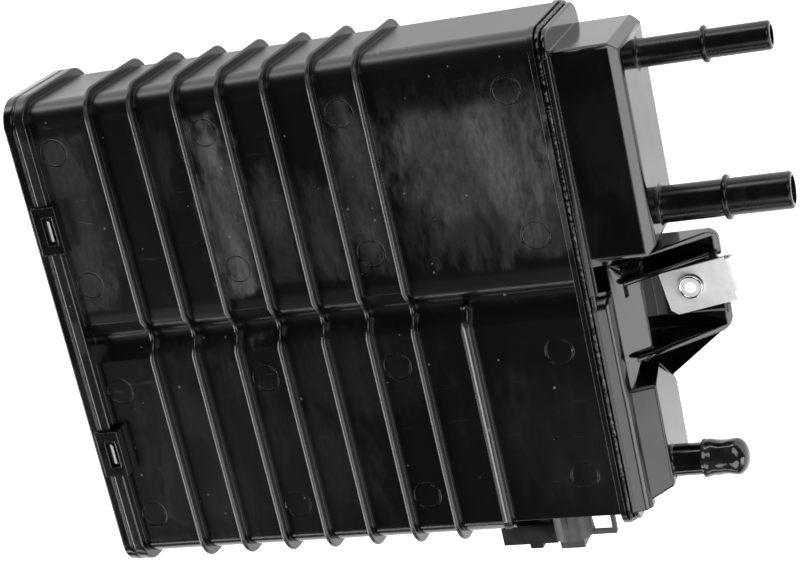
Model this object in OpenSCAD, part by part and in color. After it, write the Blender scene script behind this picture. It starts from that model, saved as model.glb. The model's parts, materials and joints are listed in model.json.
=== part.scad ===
// Charcoal canister of a fuel vapour system: two carbon chambers side by side
// in one ribbed moulding, an end cover, a head cover with the pipes and the
// fixing tab, and a vent valve in a bay at the lower edge.
// It lies on its back ribs: +X towards the pipes, +Y towards the purge side, +Z up.

/* [Body] */
// Length of the body moulding
body_l = 238.4; // [236:0.2:280]
// Width of the body across both chambers
body_w = 222.4; // [210:0.2:240]
// Depth of the body without its ribs
body_d = 61.4; // [57:0.2:75]
// Wall thickness of the mouldings
wall = 2.8; // [2:0.1:3.4]
// Outer radius of the long body edges
corner_r = 9.5; // [7:0.5:13]

/* [Ribs] */
// Number of ribs round the body
rib_count = 7; // [3:1:7]
// Distance of the first rib from the end cover
rib_first = 34.6; // [24:0.2:38]
// Spacing of the ribs
rib_pitch = 21; // [14:0.5:22]
// Thickness of a rib
rib_t = 2.1; // [1.2:0.1:3]
// Height of the ribs and of the cover rim above the body
rib_h = 3.8; // [3:0.1:6]

/* [Groove between the chambers] */
// Place of the groove, from the middle of the width
groove_y = -2; // [-7:0.5:3]
// Width of the groove at the surface
groove_w = 18.5; // [16:0.5:22]
// Radius of the groove floor
groove_r = 6; // [3:0.5:7]
// Depth of the groove
groove_depth = 5.2; // [3:0.1:6]

/* [Ejector marks] */
// Diameter of the round moulding marks
mark_d = 12.6; // [6:0.2:13]
// Rise of the mark in front of the valve
mark_rise = 4.4; // [0:0.2:6]
// Width of the line round a mark
mark_line = 0.7; // [0.4:0.1:1.2]
// Depth of the line round a mark
mark_depth = 0.4; // [0.1:0.05:0.6]
// Distance of the inner columns from the middle of the columns
mark_col_in = 31.5; // [20:0.5:40]
// Distance of the outer columns from the middle of the columns
mark_col_out = 105; // [70:0.5:105]
// Offset of the middle of the columns from the middle of the body
mark_shift = -0.6; // [-2.4:0.1:3]
// Distance of the inner rows from the middle of the width
mark_row_in = 26.3; // [21:0.1:34]
// Distance of the outer rows from the middle of the width
mark_row_out = 89; // [70:0.5:92]

/* [Valve bay] */
// Length of the bay, measured back from the weld flange
bay_l = 51.1; // [47:0.1:54]
// Height of the bay above the lower body edge
bay_h = 30.2; // [26:0.2:36]
// Distance of the bay lip from the lower body edge
bay_lip = 6.7; // [3:0.1:10]
// Thickness of the rib that borders the bay
bay_rib_t = 3.6; // [2:0.1:5]
// Height of the collar round the vent port
port_collar_h = 4; // [2.5:0.5:6]

/* [End cover] */
// Thickness of the body rim that carries the end cover
rim_t = 5.2; // [4:0.1:6]
// Thickness of the cover rim
cover_rim_t = 5.4; // [4:0.1:8]
// Height of the cover panel above its rim
cover_rise = 2.8; // [1.6:0.1:6]
// Inset of the cover panel from the rim edge
cover_inset = 8; // [6:0.5:12]
// Width of the weld seam under the cover rim
seam_w = 0.8; // [0.6:0.1:2]
// Depth of the weld seam
seam_depth = 1.2; // [0.6:0.1:2]

/* [Snap loops] */
// Distance of the snap loops from the middle of the width
loop_y = 55; // [35:0.5:70]
// Width of a snap loop
loop_w = 22.3; // [18:0.1:28]
// Length of a snap loop over the body
loop_reach = 8.9; // [8.5:0.1:12]
// Thickness of the snap loop above the rim
loop_t = 1.7; // [1.2:0.1:3]
// Width of the bars round the loop window
loop_bar = 4.7; // [4:0.1:6]
// Length of the loop window
window_l = 5; // [4:0.1:6]

/* [Weld flange] */
// Thickness of each flange lip
lip_t = 2.4; // [1.6:0.1:4]
// Height of the body lip above the body surface
lip_proud = 0.8; // [0.4:0.1:2]
// Width of the weld line between the lips
weld_w = 2.4; // [1:0.1:4]
// Depth of the weld line under the body surface
weld_depth = 2.2; // [1.2:0.1:2.6]
// Distance of the cover lip below the body surface
cover_lip_in = 0.8; // [0:0.1:1]

/* [Head cover] */
// Length of the upper head box beyond the flange
upper_l = 28; // [22:0.2:36]
// Length of the lower head box beyond the flange
lower_l = 16.8; // [15.6:0.2:19]
// Inset of the head boxes from the front of the body
head_front = 4.7; // [3.6:0.1:6]
// Inset of the upper head box from the back of the body
head_back = 7.6; // [4:0.1:9]
// Inset of the lower head box from the back of the body
lower_back = 15.7; // [12:0.1:16.6]
// Inset of the upper head box from the upper body edge
head_top = 9.9; // [6:0.1:16]
// Inset of the lower head box from the lower body edge
head_bottom = 6.8; // [4:0.1:12]
// Distance of the upper head box from the groove
upper_gap = 11.5; // [10.6:0.1:16]
// Distance of the lower head box from the groove
lower_gap = 48; // [46:0.5:52]
// Radius of the long edges of the upper head box
head_edge = 2; // [0.5:0.1:4]
// Bevel round the end of the upper head box
upper_bevel = 4.2; // [2:0.1:4.2]
// Bevel at the back of the end of the upper head box
back_edge = 1.2; // [0.6:0.1:4]
// Fall of the front of the lower head box towards its end
front_fall = 2.6; // [1:0.1:3]
// Length of the sloped panel between the head boxes
slope = 11; // [7:0.5:11]
// Lean of the upper side of the lower head box
side_lean = 6; // [2:0.5:7]
// Width of the notch between the lower head box and the lower arm
notch_w = 5; // [3:0.5:6]
// Depth of the notch
notch_depth = 10; // [6:0.5:12]
// Fall of the strip between the flange and the sloped panel
strip_fall = 2; // [0.5:0.1:3]
// Rise of the slanted underside of the lower head box
under_rise = 8.4; // [4:0.2:8.6]
// Width of the large bevel behind the lower head box
back_bevel = 18.5; // [10:0.5:24]

/* [Pipes] */
// Outer diameter of the tank pipe
tank_d = 15.8; // [12:0.1:16.2]
// Outer diameter of the purge pipe
purge_d = 12.2; // [8:0.1:12.4]
// Outer diameter of the fresh air pipe
air_d = 14.2; // [10:0.1:14.8]
// Wall thickness of the pipes
pipe_wall = 2; // [1.4:0.1:2.6]
// Length of the tank and purge pipes beyond the upper head box
pipe_l = 55.6; // [40:0.2:70]
// Length of the fresh air pipe
air_l = 27; // [22:1:32]
// Distance of the bead from the pipe tip
bead_back = 27.3; // [20:0.1:32]
// Height of the bead above the pipe
bead_h = 1.7; // [1.3:0.1:2.5]
// Rounding at the pipe tips and the thickness of the bead
tip_r = 1.3; // [0.6:0.1:1.3]
// Fillet at the pipe roots
root_r = 1.6; // [1:0.1:1.6]
// Distance of the purge pipe from the top of the upper head box
purge_drop = 13.6; // [12.4:0.1:20]
// Distance of the tank pipe from the bottom of the upper head box
tank_rise = 14.3; // [13.8:0.1:24]
// Distance of the fresh air pipe from the lower end of the lower head box
air_rise = 16.7; // [16.6:0.1:24]
// Offset of the purge pipe from the middle of the depth
purge_z = -7; // [-8:0.2:8]
// Offset of the tank pipe from the middle of the depth
tank_z = 0.8; // [-8:0.2:8]
// Distance of the fresh air pipe behind the front of the lower head box
air_in = 8.6; // [8.3:0.1:12]

/* [Fixing tab] */
// Width of each boxed gusset arm
arm_w = 11.3; // [9:0.1:12.4]
// Clear width between the arms
arm_gap = 22.5; // [20.5:0.1:25]
// Distance of the upper arm from the groove
arm_drop = 1.2; // [0.4:0.1:3]
// Length of the arms beyond the lower head box
arm_l = 30.9; // [26:0.1:36]
// Wall thickness of the arms
arm_t = 2.4; // [1.6:0.1:3]
// Height of the back of the arms above the back ribs
arm_base = 25.2; // [21:0.1:27]
// Height of the arms at their free end
arm_tip = 2.6; // [2.6:0.1:8]
// Distance of the arm roots from the upper edge of the sloped panel
arm_flat = 5.5; // [4:0.5:6]
// Width of the slot at the root of the upper arm
slot_w = 1.2; // [0.8:0.1:1.6]
// Length of the slot
slot_l = 7.4; // [4:0.2:9]
// Radius of the outer corners of the arms
arm_round = 5; // [2:0.5:6]
// Thickness of the tab plate
tab_t = 3.7; // [2.5:0.1:4.5]
// Height of the tab plate above the back of the arms
tab_rise = 2.7; // [1.6:0.1:6]
// Distance that the tab stands past the arms
tab_past = 2.1; // [0.5:0.1:4]
// Width of the bracing web below the lower arm
web_w = 21; // [14:0.5:24]
// Thickness of the bracing web
web_t = 2.6; // [1.6:0.1:4]

/* [Clip nut] */
// Width of the tongue that carries the clip nut
tongue_w = 14; // [12:0.2:15]
// Width of the front leaf of the clip nut
nut_w = 19.8; // [16:0.2:20]
// Width of the back leaf
back_w = 15; // [12:0.2:16]
// Offset of the front leaf from the thread, towards the lower arm
nut_side = 1.3; // [1.2:0.1:2]
// Angle at which the nut sits on the tab
nut_turn = 9; // [0:0.5:9]
// Length of the clip nut leaves from the thread to their inner end
nut_l = 12.1; // [9:0.1:14]
// Thickness of the nut sheet
nut_t = 1.2; // [0.8:0.1:1.6]
// Thread bore of the clip nut
nut_bore = 5; // [4:0.1:7]
// Outer diameter of the thread collar
nut_collar_d = 10.8; // [8:0.1:12]
// Height of the thread collar
nut_collar_h = 2.4; // [1.5:0.1:4]
// Distance of the thread from the free end of the tab
nut_back = 16; // [12:0.5:20]
// Size of the cut corner of the clip nut
nut_cut = 3.7; // [1:0.1:6]
// Clearance hole in the tab under the thread
tab_hole_d = 8; // [6.6:0.1:10]

/* [Port cap] */
// Length of the port cap
cap_l = 20; // [18:0.5:26]
// Wall thickness of the port cap
cap_t = 0.9; // [0.8:0.1:2]
// Depth to which the pipe enters the cap
cap_grip = 14.4; // [9:0.2:14.8]
// Height of the rolled cap rim above the cap wall
cap_rim = 0.3; // [0.2:0.1:0.8]

/* [Vent valve] */
// Diameter of the valve barrel
valve_d = 18.6; // [16:0.2:22]
// Distance of the valve axis from the start of the bay
valve_x = 20.6; // [17:0.2:24]
// Distance of the valve axis behind the front of the body
valve_z = 17.3; // [15:0.1:24]
// Distance that the barrel stands below the lower body edge
valve_drop = 9.2; // [8.4:0.1:14]
// Diameter of the valve spigot
spigot_d = 12; // [10:0.1:13]
// Length of the valve spigot
spigot_l = 8; // [7:0.5:12]
// Thickness of the sealing ring
seal_t = 2; // [1.6:0.1:2.4]
// Size of the end block below the barrel
block_w = 11.2; // [8:0.2:13]
// Height of the end block
block_h = 4.9; // [3:0.1:8]
// Length of the electrical connector from the valve axis
plug_l = 31.2; // [27:0.2:36]
// Height of the electrical connector
plug_h = 9.2; // [8.6:0.1:12]
// Width of the electrical connector
plug_w = 13.6; // [12:0.2:17]
// Clearance between the connector and the lower body edge
plug_gap = 1; // [0.6:0.1:2]
// Depth of the connector socket
socket_l = 15; // [10:0.5:17]
// Wall thickness of the connector
plug_wall = 1.6; // [1:0.1:2]
// Distance of the lock ramp from the mouth of the connector
ramp_x = 12; // [6:0.5:14]
// Length of the lock ramp
ramp_l = 6; // [4:0.5:8]
// Height of the lock ramp
ramp_h = 2.2; // [1:0.1:3]
// Reach of the latch loop from the valve axis
latch_reach = 20.4; // [17:0.2:24]
// Height of the latch loop
latch_h = 9.3; // [7:0.1:12]
// Width of the bars round the latch window
latch_bar = 1.8; // [1.2:0.1:3]
// Thickness of the latch loop
latch_t = 2.5; // [1.5:0.5:5]

/* [Carbon stack] */
// Clearance of the inner pieces in the chambers
fit = 0.3; // [0.2:0.05:0.5]
// Thickness of the filter pads
filter_t = 5; // [3:0.5:8]
// Thickness of the grids and retainer plates
grid_t = 3.5; // [2.5:0.5:5]
// Width of the bars between the windows of a grid
grid_bar = 3.6; // [2.5:0.1:6]
// Number of grid windows across a chamber
grid_cols = 8; // [4:1:10]
// Number of grid windows through the depth
grid_rows = 4; // [2:1:5]
// Length of the open space under the end cover
plenum_l = 13; // [11.5:0.5:20]
// Mean diameter of the springs
spring_d = 22; // [16:0.5:26]
// Wire thickness of the springs
spring_wire = 1.6; // [1.2:0.1:2.2]
// Number of turns in a spring
spring_turns = 4.5; // [3:0.5:6]
// Spacing of the two springs of a chamber
spring_gap = 52; // [40:1:60]

/* [Hidden] */
$fn = 64;

black = "#1c1d1f";
soft_black = "#101113";
zinc = "#d9dbdd";
carbon = "#2a2a2b";
felt = "#c9c7bf";
spring_steel = "#9a9ca0";
copper = "#c08a4e";

// Heights
mid_z = rib_h + body_d / 2;
front_z = rib_h + body_d;
rim_front = front_z + rib_h;

// Edges of the body across its width
top_y = body_w / 2;
low_y = -body_w / 2;

// Bay at the lower edge, next to the weld flange
bay_x1 = body_l - lip_t;
bay_x0 = body_l - bay_l;
bay_y = low_y + bay_h;
bay_z1 = front_z - wall;

// Head cover
tongue_x = body_l + weld_w;
head_x = tongue_x + lip_t;
upper_x = head_x + upper_l;
lower_x = head_x + lower_l;
head_z0 = rib_h + head_back;
head_z1 = front_z - head_front;
lower_z0 = rib_h + lower_back;
upper_y0 = groove_y + upper_gap;
upper_y1 = top_y - head_top;
lower_y1 = groove_y - lower_gap;
lower_y0 = low_y + head_bottom;
lower_side = lower_y1 + side_lean;

// Pipes
pipe_tip = upper_x + pipe_l;
purge_pos = [upper_x, upper_y1 - purge_drop, mid_z + purge_z];
tank_pos = [upper_x, upper_y0 + tank_rise, mid_z + tank_z];
air_pos = [lower_x, lower_y0 + air_rise, head_z1 - front_fall - air_in];

// Fixing tab
upper_arm_y = groove_y - arm_drop;
lower_arm_y = upper_arm_y - arm_gap - arm_w;
arm_x0 = lower_x - slope + arm_flat;
arm_x1 = lower_x + arm_l;
arm_top = head_z1 - strip_fall;
web_top = arm_top - (arm_top - arm_base - arm_tip) * (lower_x - arm_x0) / (arm_x1 - arm_x0);
tab_z0 = arm_base + tab_rise;
tab_z1 = tab_z0 + tab_t;
tab_y = upper_arm_y - arm_gap / 2;
tab_x1 = arm_x1 + tab_past;
nut_x = tab_x1 - nut_back;
nut_gap = 0.15;
nut_end = (nut_back + tongue_w / 2 * tan(nut_turn)) * cos(nut_turn) + nut_gap;

// Port cap
cap_x = air_pos[0] + air_l - cap_grip;
cap_r = air_d / 2 + fit + cap_t;

// Vent valve
valve_pos = [bay_x0 + valve_x, low_y - valve_drop, front_z - valve_z];
shoulder_y = bay_y - port_collar_h;
seal_y = bay_y - port_collar_h / 2;
port_r = spigot_d / 2 + fit;
seal_r = port_r - fit - seal_t / 2;
plug_y1 = low_y - plug_gap;
plug_y0 = plug_y1 - plug_h;

// Carbon stack
cover_x = -cover_rim_t - cover_rise;
cover_in = cover_x + wall;
stack_x = plenum_l + grid_t + filter_t;
vent_end = bay_x0 - wall;
main_mid = (groove_y + wall / 2 + top_y - wall) / 2;
vent_mid = (groove_y - wall / 2 + low_y + wall) / 2;

// Middle of the whole part, for its origin
mid_x = (cover_x + pipe_tip) / 2;
mid_y = (top_y + rib_h + valve_pos[1] - block_h) / 2;

// Puts the part's origin at the middle of its resting face
module placed() translate([-mid_x, -mid_y, 0]) children();

// Extrudes a section in Y and Z between two places along the length
module slab(x0, x1) translate([x0, 0, mid_z]) rotate([90, 0, 90]) linear_extrude(x1 - x0) children();

// Extrudes an outline in X and Z between two places across the width
module across(y0, y1) translate([0, y1, 0]) rotate([90, 0, 0]) linear_extrude(y1 - y0) children();

// Box between two corners
module block(a, b) translate(a) cube(b - a);

// Cylinder along the length
module rod_x(pos, r, l) translate(pos) rotate([0, 90, 0]) cylinder(r = r, h = l);

// Cylinder across the width, rising from its lower end
module rod_y(pos, r, l) translate(pos) rotate([-90, 0, 0]) cylinder(r = r, h = l);

module rounded_rect(w, h, r) {
    square([w - 2 * r, h], center = true);
    square([w, h - 2 * r], center = true);
    for (a = [-1, 1], b = [-1, 1]) translate([a * (w / 2 - r), b * (h / 2 - r)]) circle(r);
}

// Body outline, grown on all sides
module outline(grow) rounded_rect(body_w + 2 * grow, body_d + 2 * grow, max(corner_r + grow, 1));

// Body section with a round-bottomed groove in its front and its back
module section(grow) difference() {
    outline(grow);
    translate([groove_y, body_d / 2 + grow]) groove();
    rotate(180) translate([-groove_y, body_d / 2 + grow]) groove();
}

// Groove cut at the surface: a circle with a flank on each side that touches it
module groove() {
    half = groove_w / 2;
    rise = groove_r - groove_depth;
    reach = sqrt(half * half + rise * rise);
    flank = sqrt(reach * reach - groove_r * groove_r);
    angle = atan2(rise, half) - asin(groove_r / reach);
    foot = [half - flank * cos(angle), flank * sin(angle)];
    translate([0, rise]) circle(groove_r);
    polygon([
        [-half, 2 * groove_r], [-half, 0], [-foot[0], foot[1]], foot, [half, 0], [half, 2 * groove_r]
    ]);
}

// One side of the partition: 1 is the main chamber, -1 is the vent chamber
module chamber(side, gap) intersection() {
    section(-wall - gap);
    translate([groove_y + side * (wall / 2 + gap + body_w / 2), 0])
        square([body_w, body_d], center = true);
}

module canister_body() color(black) difference() {
    union() {
        slab(0, body_l) section(0);
        for (i = [0 : rib_count - 1]) {
            x = rib_first + i * rib_pitch;
            slab(x, x + rib_t) section(rib_h);
        }
        slab(0, rim_t) outline(rib_h);
        slab(body_l - lip_t, body_l) outline(lip_proud);
        bay_rib();
        for (s = [-1, 1]) barb(s * loop_y);
    }
    chambers();
    valve_bay();
    rod_y([valve_pos[0], shoulder_y - 1, valve_pos[2]], port_r, bay_h);
    ejector_marks();
}

// Rib on the lower panel that borders the valve bay
module bay_rib() intersection() {
    slab(bay_x0 - bay_rib_t, bay_x0) section(rib_h);
    block([0, low_y + corner_r / 2, mid_z], [body_l, groove_y, 2 * rim_front]);
}

// Hollow of both chambers, joined under the end cover
module chambers() difference() {
    slab(-1, body_l + 1) section(-wall);
    block([plenum_l, groove_y - wall / 2, 0], [body_l + 2, groove_y + wall / 2, rim_front]);
    block([vent_end, 2 * low_y, 0], [body_l + 2, bay_y + wall, rim_front]);
    block([vent_end, groove_y - 2 * wall, 0], [bay_x0, groove_y, rim_front]);
}

// Bay under the vent chamber, open below and behind, with a lip in front
module valve_bay() {
    difference() {
        block([bay_x0, 2 * low_y, -1], [bay_x1, bay_y, bay_z1]);
        rod_y([valve_pos[0], shoulder_y, valve_pos[2]], port_r + wall, bay_h);
    }
    block([bay_x0, 2 * low_y, -1], [bay_x1, low_y + bay_lip, 2 * rim_front]);
}

module ejector_marks() {
    middle = body_l / 2 + mark_shift;
    columns = [-mark_col_out, -mark_col_in, mark_col_in, mark_col_out];
    rows = [-mark_row_out, -mark_row_in, mark_row_in, mark_row_out];
    for (x = columns, y = rows) {
        rise = x > mark_col_in && y < -mark_row_in ? mark_rise : 0;
        translate([middle + x, y + rise, front_z - mark_depth]) difference() {
            cylinder(d = mark_d, h = 2 * mark_depth);
            cylinder(d = mark_d - 2 * mark_line, h = 2 * mark_depth);
        }
    }
}

// Wedge on the body rim that the snap loop catches
module barb(y) {
    side = loop_w - 2 * loop_bar - 3;
    start = loop_reach - loop_bar / 2 - window_l + fit;
    across(y - side / 2, y + side / 2) polygon([
        [start, rim_front - 1], [start, rim_front + 0.3],
        [rim_t, rim_front + loop_t - 0.3], [rim_t, rim_front - 1]
    ]);
}

module end_cover() color(black) difference() {
    union() {
        slab(-cover_rim_t, -seam_w) outline(rib_h);
        slab(-seam_w, 0) outline(rib_h - seam_depth);
        slab(cover_x, -cover_rim_t) outline(rib_h - cover_inset);
        for (s = [-1, 1]) snap_loop(s * loop_y);
    }
    slab(cover_in, 1) outline(rib_h - cover_inset - wall);
}

// Frame that reaches over the body rim, with a hooked free end
module snap_loop(y) {
    x0 = -cover_rim_t / 2;
    z0 = rim_front + fit;
    bar = loop_bar / 2;
    difference() {
        union() {
            block([x0, y - loop_w / 2, z0], [loop_reach, y + loop_w / 2, rim_front + loop_t]);
            block([x0, y - loop_w / 2, front_z], [-seam_w, y + loop_w / 2, rim_front + loop_t]);
            block([loop_reach - bar + 0.2, y - loop_w / 2, front_z + fit],
                  [loop_reach, y + loop_w / 2, z0]);
        }
        block([loop_reach - bar - window_l, y - loop_w / 2 + loop_bar, 0],
              [loop_reach - bar, y + loop_w / 2 - loop_bar, 2 * rim_front]);
    }
}

module head_cover() color(black) difference() {
    union() {
        slab(body_l, tongue_x) outline(-weld_depth);
        slab(tongue_x, head_x) outline(-cover_lip_in);
        upper_box(0);
        middle_box(0);
        lower_box(0);
        pipe(purge_pos, purge_d, pipe_l, bead_h, root_r);
        pipe(tank_pos, tank_d, pipe_l, bead_h, root_r);
        pipe(air_pos, air_d, air_l, 0, root_r / 2);
        fixing_tab();
    }
    upper_box(wall);
    middle_box(wall);
    lower_box(wall);
    rod_x(purge_pos - [2 * wall, 0, 0], purge_d / 2 - pipe_wall, pipe_l + upper_l);
    rod_x(tank_pos - [2 * wall, 0, 0], tank_d / 2 - pipe_wall, pipe_l + upper_l);
    rod_x(air_pos - [2 * wall, 0, 0], air_d / 2 - pipe_wall, air_l + lower_l);
    block([arm_x0 - slot_w, upper_arm_y + arm_t - slot_w / 2 - slot_l, arm_top - arm_flat],
          [arm_x0, upper_arm_y + arm_t - slot_w / 2, rim_front]);
}

// Upper head box with a bevel round its end; inset makes its hollow
module upper_box(inset) {
    x0 = body_l - inset;
    x1 = upper_x - inset;
    b = upper_bevel;
    y0 = upper_y0 + inset;
    y1 = upper_y1 - inset;
    z0 = head_z0 + inset;
    z1 = head_z1 - inset;
    edge = inset > 0 ? 0.4 : head_edge;
    intersection() {
        across(y0, y1) polygon([
            [x0, z0], [x1 - back_edge, z0], [x1, z0 + back_edge], [x1, z1 - b], [x1 - b, z1], [x0, z1]
        ]);
        linear_extrude(2 * rim_front)
            polygon([[x0, y0], [x1 - b, y0], [x1, y0 + b], [x1, y1 - b], [x1 - b, y1], [x0, y1]]);
        slab(x0, x1) translate([(y0 + y1) / 2, (z0 + z1) / 2 - mid_z])
            rounded_rect(y1 - y0, z1 - z0, edge);
    }
}

// Low part between the head boxes with a sloped front panel; its hollow keeps the partition
module middle_box(inset) {
    x0 = body_l - inset;
    x1 = lower_x - inset;
    difference() {
        across(lower_y1, upper_y0 + wall) polygon([
            [x0, lower_z0 + inset], [x1, lower_z0 + inset], [x1, head_z1 - inset / 2 - slope],
            [x1 - slope + inset / 2, head_z1 - strip_fall - inset],
            [head_x, head_z1 - inset], [x0, head_z1 - inset]
        ]);
        translate([0, 0, web_top - notch_depth - inset]) linear_extrude(rim_front) polygon([
            [lower_x - slope - inset, lower_y1 - wall], [lower_x - notch_w - inset, lower_arm_y + inset],
            [lower_x + wall, lower_arm_y + inset], [lower_x + wall, lower_y1 - wall]
        ]);
        if (inset > 0)
            block([body_l - wall, groove_y - wall / 2, 0], [upper_x, groove_y + wall / 2, rim_front]);
    }
}

// Lower head box with a slanted underside, a leaning upper side and a bevelled back
module lower_box(inset) {
    x0 = body_l - inset;
    x1 = lower_x - inset;
    intersection() {
        linear_extrude(2 * rim_front) polygon([
            [x0, lower_side - inset], [x1, lower_side - inset], [x1, lower_y0 + under_rise + inset],
            [head_x, lower_y0 + inset], [x0, lower_y0 + inset]
        ]);
        across(lower_y0, lower_side) polygon([
            [x0, 0], [lower_x, 0], [lower_x, head_z1 - front_fall - inset],
            [head_x, head_z1 - inset], [x0, head_z1 - inset]
        ]);
        slab(body_l - wall, lower_x) polygon([
            [lower_y0 + inset, lower_z0 + inset - mid_z],
            [lower_side - inset - back_bevel, lower_z0 + inset - mid_z],
            [lower_side - inset, lower_z0 + inset + back_bevel - mid_z],
            [lower_side - inset, head_z1 - inset - slope - wall - mid_z],
            [lower_y1 - inset, head_z1 - inset - mid_z],
            [lower_y0 + inset, head_z1 - inset - mid_z]
        ]);
    }
}

// Pipe with a filleted root, a bead and a rounded tip
module pipe(pos, d, l, bead, root) translate(pos) rotate([0, 90, 0]) {
    r = d / 2;
    cylinder(r = r, h = l - tip_r);
    cylinder(r = r - tip_r, h = l);
    rotate_extrude() translate([r - tip_r, l - tip_r]) circle(tip_r);
    rotate_extrude() difference() {
        translate([r - pipe_wall / 2, -wall / 2]) square([root + pipe_wall / 2, root + wall / 2]);
        translate([r + root, root]) circle(root);
    }
    if (bead > 0) translate([0, 0, l - bead_back]) {
        cylinder(r = r + bead - tip_r, h = 2 * tip_r, center = true);
        rotate_extrude() translate([r + bead - tip_r, 0]) circle(tip_r);
    }
}

// Tab plate between two boxed arms; its tongue carries the nut
module fixing_tab() {
    boxed_arm(upper_arm_y) arm_corner([arm_x1 - arm_round, upper_arm_y + arm_w - arm_round, 0], 0);
    boxed_arm(lower_arm_y) {
        arm_corner([arm_x1 - arm_round, lower_arm_y + arm_round, 0], -90);
        block([arm_x0 - 1, lower_arm_y + arm_t, tab_z1],
              [arm_x1 - arm_t, lower_arm_y + arm_w + 1, 2 * rim_front]);
    }
    difference() {
        union() {
            block([lower_x - wall, lower_arm_y + arm_w - arm_t, tab_z0],
                  [arm_x1 - arm_t / 2, upper_arm_y + arm_t, tab_z1]);
            block([lower_x, tab_y - tongue_w / 2, tab_z0], [tab_x1, tab_y + tongue_w / 2, tab_z1]);
        }
        translate([nut_x, tab_y, 0]) cylinder(d = tab_hole_d, h = rim_front);
    }
    slant_web();
}

// Arm whose front edge falls from the head panel to its free end; open in front.
// The children are cut away from it.
module boxed_arm(y) difference() {
    across(y, y + arm_w) polygon([
        [lower_x - wall, arm_base], [arm_x1, arm_base], [arm_x1, arm_base + arm_tip],
        [arm_x0, arm_top], [arm_x0, arm_top - slope]
    ]);
    block([arm_x0 - 1, y + arm_t, arm_base + arm_t],
          [arm_x1 - arm_t, y + arm_w - arm_t, 2 * rim_front]);
    children();
}

// Cut that rounds an outer corner of an arm's free end
module arm_corner(pos, turn) translate(pos) rotate([0, 0, turn]) difference() {
    cube([2 * arm_round, 2 * arm_round, 2 * rim_front]);
    cylinder(r = arm_round, h = 2 * rim_front);
}

// Slanted three-cornered plate under the lower arm
module slant_web() {
    root = [lower_x, lower_arm_y, web_top];
    tip = [arm_x1 - arm_round / 2, lower_arm_y, arm_base];
    foot = [lower_x, lower_arm_y - web_w, arm_base];
    face = cross(foot - root, tip - root);
    turn = [0, acos(face[2] / norm(face)), atan2(face[1], face[0])];
    intersection() {
        block([lower_x - wall, foot[1], arm_base], [tip[0], lower_arm_y + arm_t / 2, web_top]);
        translate(foot) rotate(turn) translate([0, 0, -web_t])
            linear_extrude(web_t) square(4 * arm_l, center = true);
    }
}

module clip_nut() color(zinc) translate([nut_x, tab_y, 0]) rotate([0, 0, nut_turn]) {
    half = tab_t / 2 + nut_gap;
    tab_mid = (tab_z0 + tab_z1) / 2;
    low = -nut_w / 2 - nut_side;
    difference() {
        union() {
            block([-nut_l, low, tab_mid + half], [nut_end, low + nut_w, tab_mid + half + nut_t]);
            block([-nut_l * 0.75, -back_w / 2, tab_mid - half - nut_t],
                  [nut_end, back_w / 2, tab_mid - half]);
            nut_bend(tab_mid, half);
            translate([0, 0, tab_mid + half]) cylinder(d = nut_collar_d, h = nut_t + nut_collar_h);
        }
        translate([-nut_l, low, 0]) rotate([0, 0, 45])
            cube([nut_cut, nut_cut, 4 * rim_front], center = true);
        cylinder(d = nut_bore, h = rim_front);
        cylinder(d = tab_hole_d, h = tab_mid);
    }
}

// Half round fold of the nut past the free end of the tab
module nut_bend(z, half) intersection() {
    difference() {
        rod_y([nut_end, -back_w / 2, z], half + nut_t, back_w);
        rod_y([nut_end, -back_w, z], half, 2 * back_w);
    }
    block([nut_end, -back_w, 0], [nut_end + 2 * half + 2 * nut_t, back_w, rim_front]);
}

// Slip-on cap with a rolled rim and a domed end
module port_cap() color(soft_black) translate([cap_x, air_pos[1], air_pos[2]]) rotate([0, 90, 0]) {
    dome = cap_r * 0.7;
    difference() {
        union() {
            cylinder(r = cap_r, h = cap_l - dome);
            translate([0, 0, cap_l - dome]) cylinder(r1 = cap_r, r2 = cap_r * 0.87, h = dome / 2);
            translate([0, 0, cap_l - dome / 2])
                cylinder(r1 = cap_r * 0.87, r2 = cap_r * 0.45, h = dome / 2);
            rotate_extrude() translate([cap_r - cap_rim, 2 * cap_rim]) circle(2 * cap_rim);
        }
        translate([0, 0, -1]) cylinder(r = cap_r - cap_t, h = cap_grip + 1 + fit);
    }
}

// Solenoid barrel with its spigot, electrical connector and latch loop
module valve_barrel() color(black) {
    x = valve_pos[0];
    z = valve_pos[2];
    plug_x = x - plug_l;
    plug_z = z - plug_w / 2;
    difference() {
        union() {
            rod_y(valve_pos, valve_d / 2, shoulder_y - valve_pos[1]);
            rod_y([x, shoulder_y - 1, z], spigot_d / 2, spigot_l + 1);
            block([plug_x, plug_y0, plug_z], [x - block_w / 2 - fit, plug_y1, plug_z + plug_w]);
            block([plug_x + ramp_x, plug_y0 - ramp_h, z - plug_w / 4],
                  [plug_x + ramp_x + ramp_l, plug_y0 + plug_wall, z + plug_w / 2]);
            latch_loop();
        }
        seal_ring(seal_t / 2 + fit);
        block([plug_x - 1, plug_y0 + plug_wall, plug_z + plug_wall],
              [plug_x + socket_l, plug_y1 - plug_wall, plug_z + plug_w - plug_wall]);
        rod_y([x, shoulder_y, z], spigot_d / 5, spigot_l + 1);
    }
}

// Ring round the valve spigot
module seal_ring(wire_r) translate([valve_pos[0], seal_y, valve_pos[2]]) rotate([-90, 0, 0])
    rotate_extrude() translate([seal_r, 0]) circle(wire_r);

// Loop beside the barrel, by which the valve is unlocked
module latch_loop() {
    x0 = valve_pos[0];
    x1 = x0 + latch_reach;
    y0 = low_y - latch_h;
    y1 = low_y + 2 * latch_bar;
    z0 = valve_pos[2];
    difference() {
        block([x0, y0, z0], [x1, y1, z0 + latch_t]);
        block([x0 + valve_d / 2 + 0.5, y0 + latch_bar, z0 - 1],
              [x1 - latch_bar, y1 - latch_bar, z0 + latch_t + 1]);
    }
}

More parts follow.
